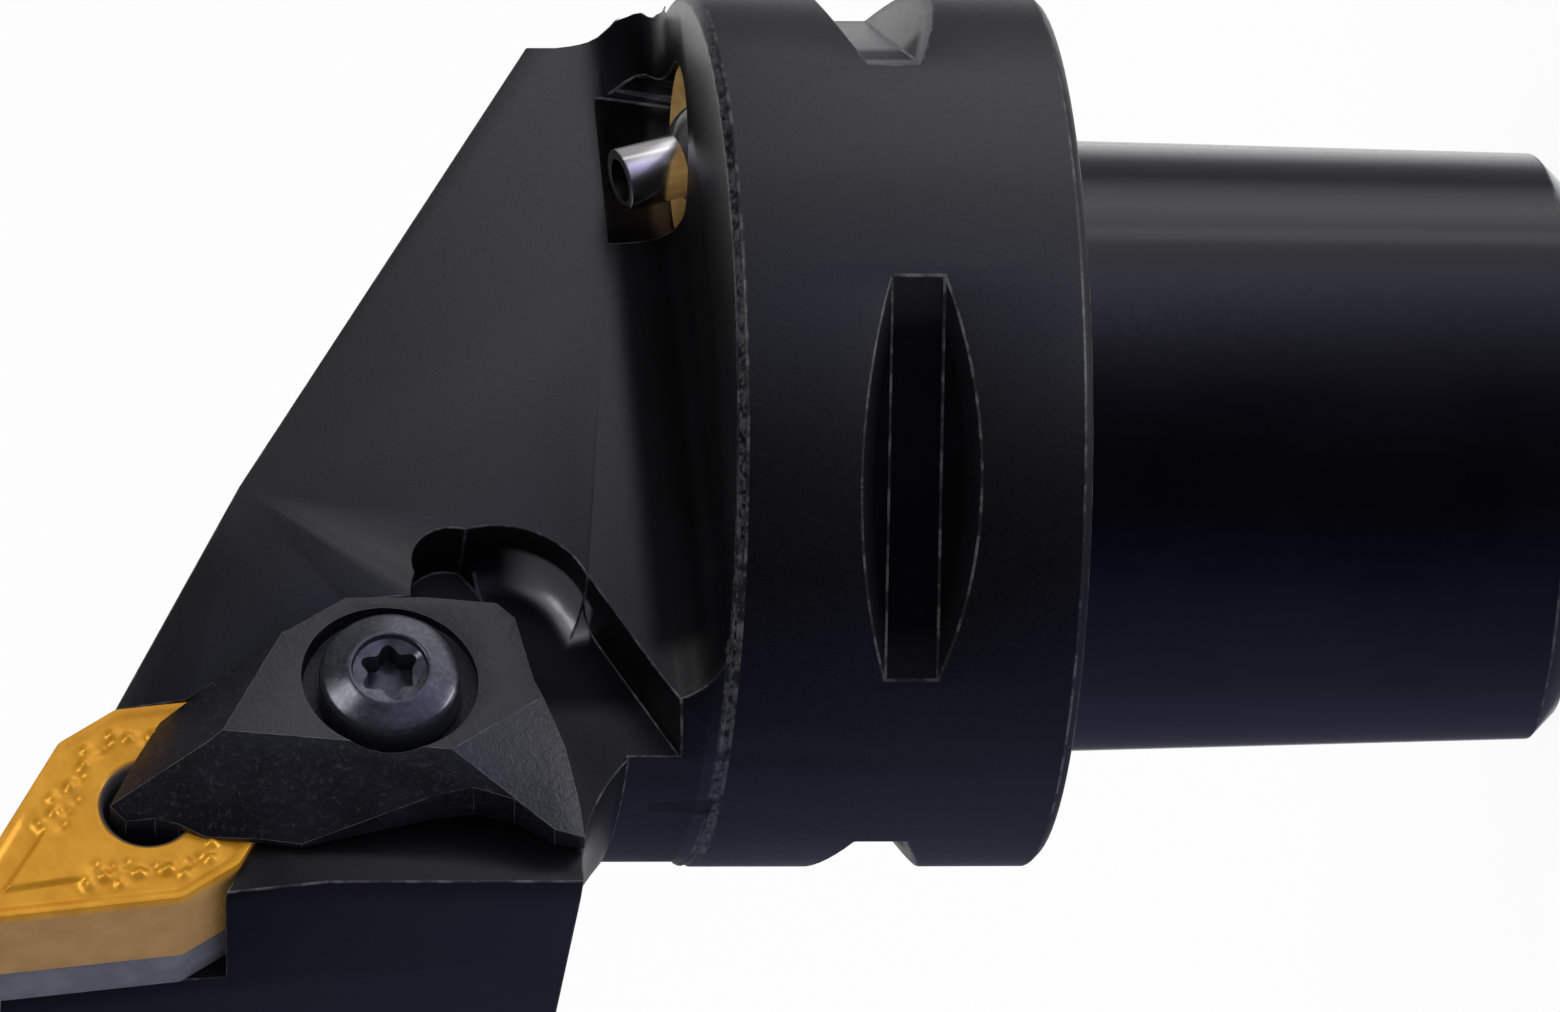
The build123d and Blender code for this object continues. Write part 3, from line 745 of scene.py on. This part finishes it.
bpy.ops.transform.resize(value=(shrink, shrink, 1), center_override=(0, 0, 0))
bpy.ops.transform.translate(value=(0, 0, -insertLook["holeRim"] * mm))
bpy.ops.mesh.select_all(action="SELECT")
bpy.ops.mesh.duplicate()
middleHeight = -insertLook["thickness"] / 2 * mm
bpy.ops.transform.resize(value=(1, 1, -1), center_override=(0, 0, middleHeight))
stopEditing()
count = len(insert.data.vertices) // 2
selectPoints(insert, lambda point: point.index % count < around)
bpy.ops.mesh.bridge_edge_loops(number_cuts=insertLook["wallCuts"], interpolation="LINEAR")
selectPoints(insert, lambda point: point.index < 2 * count and point.index % count >= count - around)
bpy.ops.mesh.bridge_edge_loops(number_cuts=insertLook["holeCuts"], interpolation="LINEAR")
stopEditing()
closeMesh(insert)
bevelEdges(insert, insertLook)
placeAt(insert, seatMatrix)
smoothByAngle(insert, insertLook)
dress(insert, finishes["coated_carbide"], "holder", "coated_carbide", "cutting_insert")
print("insert shaped", len(insert.data.polygons))

clampLook = {
    "flatAngle": 0.6, "edge": 0.2, "edgeSteps": 3, "sharpFrom": 14, "smoothFrom": 35,
    "edgeMaterial": 1,
}
clamp = mergedCopy("clamp", "forgedClamp", clampLook["flatAngle"])
clamp.data.materials.append(finishes["forged_steel"])
# bevel faces take the lighter edge finish, partly wear and partly painted highlight
clamp.data.materials.append(plainFinish("rubbedForgedEdgeAndHighlight"))
bevelEdges(clamp, clampLook)
smoothByAngle(clamp, clampLook)
dress(clamp, finishes["forged_steel"], "clamp", "forged_steel", "clamp")
print("clamp shaped", len(clamp.data.polygons))

screwLook = {
    "around": 96, "smoothFrom": 38, "lobes": 6, "lobeMean": 0.86, "lobeWave": 0.14, "slack": 0.02,
    # (radius, height) from the point over the thread and the domed head, then the socket
    "rings": (
        (1.5, -9.78), (2.05, -9.2), (2.05, 1.0), (3.85, 1.0), (4.0, 1.15), (4.0, 3.0), (3.93, 3.18),
        (3.7, 3.34), (3.3, 3.5), (2.9, 3.66), (2.55, 3.8), (2.38, 3.88), (2.26, 3.9), (2.18, 3.86),
        (2.08, 3.55)),
    "socketRadius": 1.75, "socketFloor": 1.7,
    "socketRings": ((1.75, 3.42), (1.75, 3.34), (1.75, 1.7), (1.0, 1.65)),
}
nowRadius, nowHeight = screwLook["rings"][0]
bpy.ops.mesh.primitive_circle_add(
    vertices=screwLook["around"], radius=nowRadius * mm, fill_type="NGON",
    location=(0, 0, nowHeight * mm))
screw = bpy.context.object
screw.name = "clampScrewDome"
pick(screw)
bpy.ops.object.transform_apply(location=True, rotation=True, scale=True)
startEditing(screw, "SELECT")
for radius, height in screwLook["rings"][1:] + screwLook["socketRings"]:
    step = (0, 0, (height - nowHeight) * mm)
    bpy.ops.mesh.extrude_region_move(TRANSFORM_OT_translate={"value": step})
    scaling = radius / nowRadius
    bpy.ops.transform.resize(value=(scaling, scaling, 1), center_override=(0, 0, height * mm))
    nowRadius, nowHeight = radius, height
stopEditing()
for point in screw.data.vertices:  # the socket's star
    fromWall = hypot(point.co.x, point.co.y) / mm - screwLook["socketRadius"]
    aboveFloor = point.co.z / mm > screwLook["socketFloor"] - screwLook["slack"]
    if abs(fromWall) < screwLook["slack"] and aboveFloor:
        angle = atan2(point.co.y, point.co.x)
        scaling = screwLook["lobeMean"] + screwLook["lobeWave"] * cos(screwLook["lobes"] * angle)
        point.co.x *= scaling
        point.co.y *= scaling
closeMesh(screw)
placeAt(screw, screwMatrix)
smoothByAngle(screw, screwLook)
dress(screw, finishes["screw_steel"], "clamp_screw", "screw_steel", "clamp_screw")
print("clamp screw shaped")


def ballAngle(radius):
    return atan2(radius, sqrt(nozzleLook["ballRadius"] ** 2 - radius ** 2))


ballStart = ballAngle(nozzleLook["tubeRadius"])
ballEnd = pi - ballAngle(nozzleLook["boreRadius"])
boreRadius, tubeRadius, tubeEnd = [nozzleLook[key] for key in ("boreRadius", "tubeRadius", "tubeEnd")]
lip, lipSmall, lipLarge = [nozzleLook[key] for key in ("lip", "lipSmall", "lipLarge")]
nozzleProfile = [
    (boreRadius, nozzleLook["ballRadius"] * cos(ballEnd)),
    (boreRadius, tubeEnd - lip),
    (boreRadius + lipLarge, tubeEnd - lipSmall),
    (boreRadius + lip, tubeEnd),
    (tubeRadius - lip, tubeEnd),
    (tubeRadius - lipSmall, tubeEnd - lipLarge),
    (tubeRadius, tubeEnd - lip),
]
for step in range(nozzleLook["ballSteps"] + 1):
    angle = ballStart + (ballEnd - ballStart) * step / nozzleLook["ballSteps"]
    nozzleProfile.append((nozzleLook["ballRadius"] * sin(angle), nozzleLook["ballRadius"] * cos(angle)))
nozzle = spunShape("nozzleTube", nozzleProfile, nozzleLook["around"])
placeAt(nozzle, nozzleMatrix)
smoothByAngle(nozzle, nozzleLook)
dress(nozzle, finishes["bright_steel"], "nozzle", "bright_steel", "coolant_nozzle")

ringLook = {
    "outer": 5.15, "back": -0.8, "front": 2.4, "lip": 1.1, "gap": 3.45, "slope": 52, "edge": 0.12,
    "seat": (-0.8, -0.55, -0.3, -0.05, 0.2, 0.45, 0.7, 0.9, 1.1),
    "mouth": ((-0.02, -0.04), (0.05, 0)), "around": 96, "smoothFrom": 35,
}
mouthRadius = sqrt(ringLook["gap"] ** 2 - ringLook["lip"] ** 2)
mouthRadius += (ringLook["front"] - ringLook["lip"]) * tan(radians(ringLook["slope"]))
ringProfile = [(sqrt(ringLook["gap"] ** 2 - height ** 2), height) for height in ringLook["seat"]]
ringProfile += [(mouthRadius + outward, ringLook["front"] + height)
                for outward, height in ringLook["mouth"]]
ringProfile += [
    (ringLook["outer"] - ringLook["edge"], ringLook["front"]),
    (ringLook["outer"], ringLook["front"] - ringLook["edge"]),
    (ringLook["outer"], ringLook["back"]),
    ringProfile[0],
]
ring = spunShape("brassRing", ringProfile, ringLook["around"])
placeAt(ring, Matrix.Translation(Vector(nozzleLook["place"]) * mm))
smoothByAngle(ring, ringLook)
dress(ring, finishes["brass"], "holder", "brass", "nozzle_ring")
print("nozzle and ring shaped")

keptNodes = {"shim_screw": "screw_steel", "clamp_spring": "spring_steel", "nozzle_seal": "seal_rubber"}
for node, slot in keptNodes.items():
    frame["nodes"][node].data.materials.clear()
    frame["nodes"][node].data.materials.append(finishes[slot])
print("nodes finished")

cameraLook = {
    "right": (-0.085, -0.110, -0.990), "out": (-0.6056, -0.7836, 0.139),
    "target": (-2.27, 4.26, 14.11), "distance": 1487, "lens": 600, "sensor": 36, "clipEnd": 50,
}
toCamera = Vector(cameraLook["out"]).normalized()
toTop = toCamera.cross(Vector(cameraLook["right"]).normalized()).normalized()
toRight = toTop.cross(toCamera).normalized()

studioLook = {
    "floorHeight": -0.030, "floorSize": 6.0, "whiteShare": 0.93,
    "paper": (0.86, 0.86, 0.86), "ambient": (0.85, 0.85, 0.88),
    "keyWay": (0.608, -0.783, 0.0), "keyDistance": 0.5, "keyLift": 0.02,
    "keyWidth": 0.1, "keyLength": 0.7, "keyPower": 0.11,
    "softBoxes": (("boxLeft", (-0.6, 0.5, 0.62), 0.6), ("boxRight", (0.86, 0.34, 0.38), 0.65)),
    "boxMiddle": (-0.02, 0, 0.05), "boxDistance": 0.6, "boxSize": 0.2,
    # the hood's grey and blue, by the turn in degrees from the camera's side over the top
    "hoodGain": 1.3,
    "hood": (
        (-166, 0.12, 0.16), (-145, 0.12, 0.2), (-115, 0.17, 0.34), (-95, 0.15, 0.3),
        (-76, 0.1, 0.27), (-62, 0.05, 0.17), (-48, 0.01, 0.04), (-35, 0.003, 0.01),
        (-20, 0.015, 0.04), (-5, 0.05, 0.1), (10, 0.17, 0.24), (25, 0.34, 0.55), (38, 0.56, 0.88),
        (50, 0.75, 1.0), (60, 0.7, 0.85), (75, 0.84, 0.95), (95, 1.2, 1.3), (106, 1.27, 1.3),
        (120, 0.72, 0.77), (133, 0.16, 0.18), (148, 0.2, 0.22), (160, 0.8, 0.82), (170, 1.0, 1.0)),
    # the hood grows brighter towards its right end, and is whole behind the part
    "endStart": 0.03, "endSteps": ((0.22, -0.75, -0.2), (0.75, -0.14, 0.06)),
    "behind": (-0.35, -0.75),
}


def rayKinds(finish):
    outputs = finish.node("LightPath").socket.node.outputs
    kinds = ("Is Camera Ray", "Is Glossy Ray", "Is Transmission Ray")
    return [Wire(finish.tree, outputs[kind]) for kind in kinds]


# the camera sees a white world, and the metal sees white behind the part and the hood before it
world = bpy.data.worlds.new("studio")
bpy.context.scene.world = world
sky = Finish(world)
direction = sky.node("TexCoord", out="Generated")
overTop, toLens, sideways = [
    sky.node("VectorMath", {"operation": "DOT_PRODUCT"}, {0: direction, 1: tuple(axis)}, 1)
    for axis in (toTop, toCamera, toRight)
]
turnRound = sky.node("Math", {"operation": "ARCTAN2"}, {0: overTop, 1: toLens}) * (0.5 / pi) + 0.5
hoodGain = studioLook["hoodGain"]
white = (1 / hoodGain,) * 3
stops = [(turned / 360 + 0.5, (grey / hoodGain, grey / hoodGain, blue / hoodGain))
         for turned, grey, blue in studioLook["hood"]]
hood = sky.node("ValToRGB", {"stops": [(0, white)] + stops + [(1, white)]}, {0: turnRound})
hoodEnd = studioLook["endStart"]
for share, low, high in studioLook["endSteps"]:
    hoodEnd = hoodEnd + share * sky.step(sideways, low, high)
hoodEnd = hoodEnd + sky.step(toLens, *studioLook["behind"]) * (1 - hoodEnd)
hood = sky.node("VectorMath", {"operation": "SCALE"}, {0: hood, 3: hoodEnd * hoodGain})
cameraRay, glossyRay, throughRay = rayKinds(sky)
seen = sky.mix(glossyRay + throughRay, studioLook["ambient"], hood)
seen = sky.mix(cameraRay, seen, (1, 1, 1))
background = sky.node("Background", None, {"Color": seen, "Strength": 1})
sky.node("OutputWorld", None, {"Surface": background})

bpy.ops.mesh.primitive_plane_add(
    size=studioLook["floorSize"], location=(0, 0, studioLook["floorHeight"]))
floor = bpy.context.object
floor.name = "floorPlane"
paper = newFinish("palePaper")
cameraRay, glossyRay, throughRay = rayKinds(paper)
matt = paper.node("BsdfDiffuse", None, {"Color": studioLook["paper"]})
glow = paper.node("Emission", None, {"Color": (1, 1, 1), "Strength": 1})
share = cameraRay * studioLook["whiteShare"] + glossyRay + throughRay
mixed = paper.node("MixShader", None, {0: share, 1: matt, 2: glow})
paper.node("OutputMaterial", None, {"Surface": mixed})
floor.data.materials.append(paper.holder)
floor.visible_glossy = False  # the metal sees the world and the lamps instead
floor.visible_shadow = False

upright = Vector((0, 0, 1))
keyWay = Vector(studioLook["keyWay"]).normalized()
keyPlace = keyWay * studioLook["keyDistance"] + upright * studioLook["keyLift"]
bpy.ops.object.light_add(type="AREA", location=keyPlace)
key = bpy.context.object
key.name = "keyStrip"
key.data.shape = "RECTANGLE"
key.data.size = studioLook["keyWidth"]
key.data.size_y = studioLook["keyLength"]
key.data.energy = studioLook["keyPower"]
key.matrix_world = frameMatrix(keyPlace, -keyWay.cross(upright).normalized(), upright, keyWay)
key.visible_camera = False

for name, (right, up, out), power in studioLook["softBoxes"]:
    boxWay = (toRight * right + toTop * up + toCamera * out).normalized()
    boxPlace = boxWay * studioLook["boxDistance"] + Vector(studioLook["boxMiddle"])
    bpy.ops.object.light_add(type="AREA", location=boxPlace)
    box = bpy.context.object
    box.name = name
    box.data.size = studioLook["boxSize"]
    box.data.energy = power
    box.rotation_euler = boxWay.to_track_quat("Z", "Y").to_euler()
    box.visible_camera = False

bpy.ops.object.camera_add()
camera = bpy.context.object
camera.data.lens = cameraLook["lens"]
camera.data.sensor_width = cameraLook["sensor"]
camera.data.clip_end = cameraLook["clipEnd"]
cameraPlace = (Vector(cameraLook["target"]) + toCamera * cameraLook["distance"]) * mm
camera.matrix_world = frameMatrix(cameraPlace, toRight, toTop, toCamera)
bpy.context.scene.camera = camera
bpy.context.scene.view_settings.view_transform = "Standard"
print("studio set")
